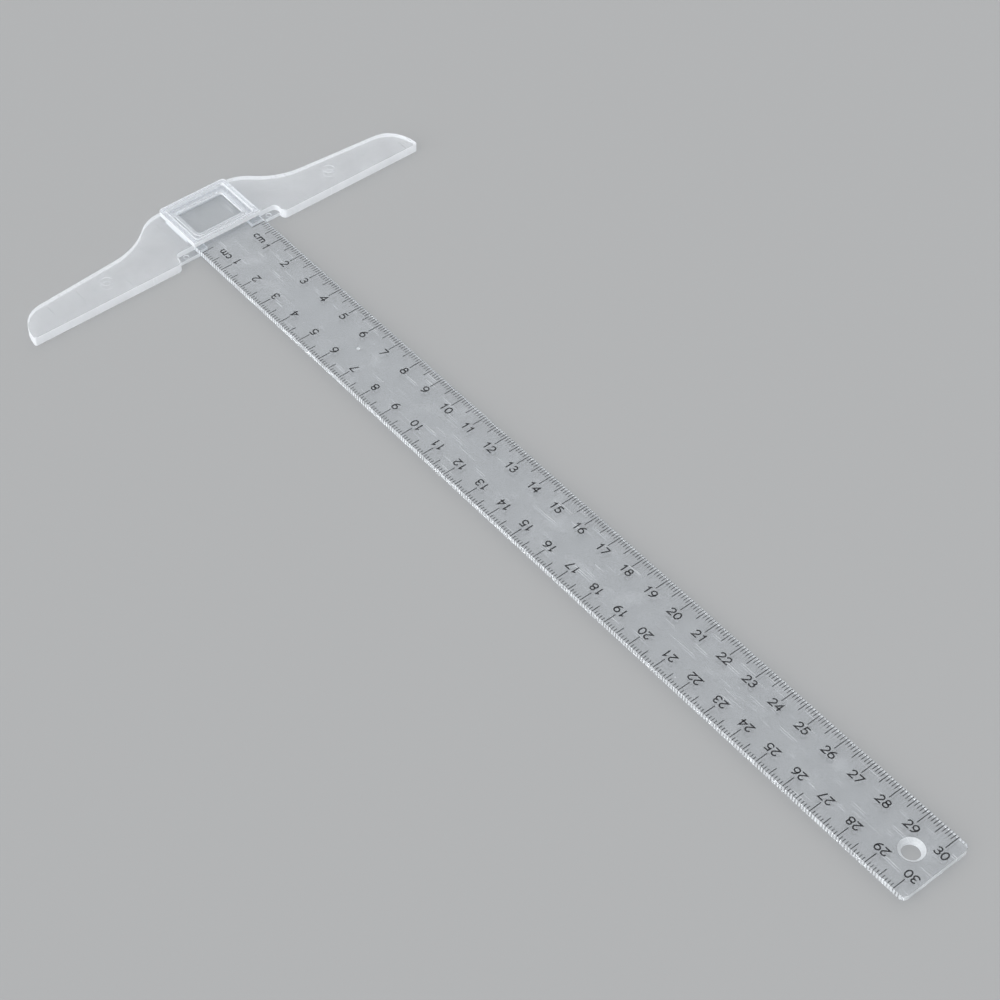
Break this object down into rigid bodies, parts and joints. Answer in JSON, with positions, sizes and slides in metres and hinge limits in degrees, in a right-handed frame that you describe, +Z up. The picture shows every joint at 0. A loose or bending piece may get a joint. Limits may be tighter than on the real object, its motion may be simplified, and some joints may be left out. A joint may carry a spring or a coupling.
{
  "type": "t-square",
  "caption": "Drafting T-square: a clear graduated blade plugs into a frosted winged head under a windowed cover.",
  "frame": {"origin": "on the blade's underside and centreline, in the plane of the head's working edge, which is the zero of the scale", "axes": "+X along the blade away from the head, +Y across the blade to its left, +Z up out of the drawing surface"},
  "size_m": [0.3279, 0.148, 0.0054],
  "materials": {
    "frosted_plastic": "frosted translucent moulding",
    "clear_plastic": "clear polished",
    "scale_ink": "black screen print on the blade"
  },
  "bodies": {
    "head": {"head": "frosted_plastic", "window_cover": "frosted_plastic"},
    "blade": {"ruler_blade": "clear_plastic"}
  },
  "joints": [
    {"name": "blade_slide", "type": "slide", "parent": "head", "child": "blade", "axis": [1, 0, 0], "range_m": [0, 0.026]}
  ]
}
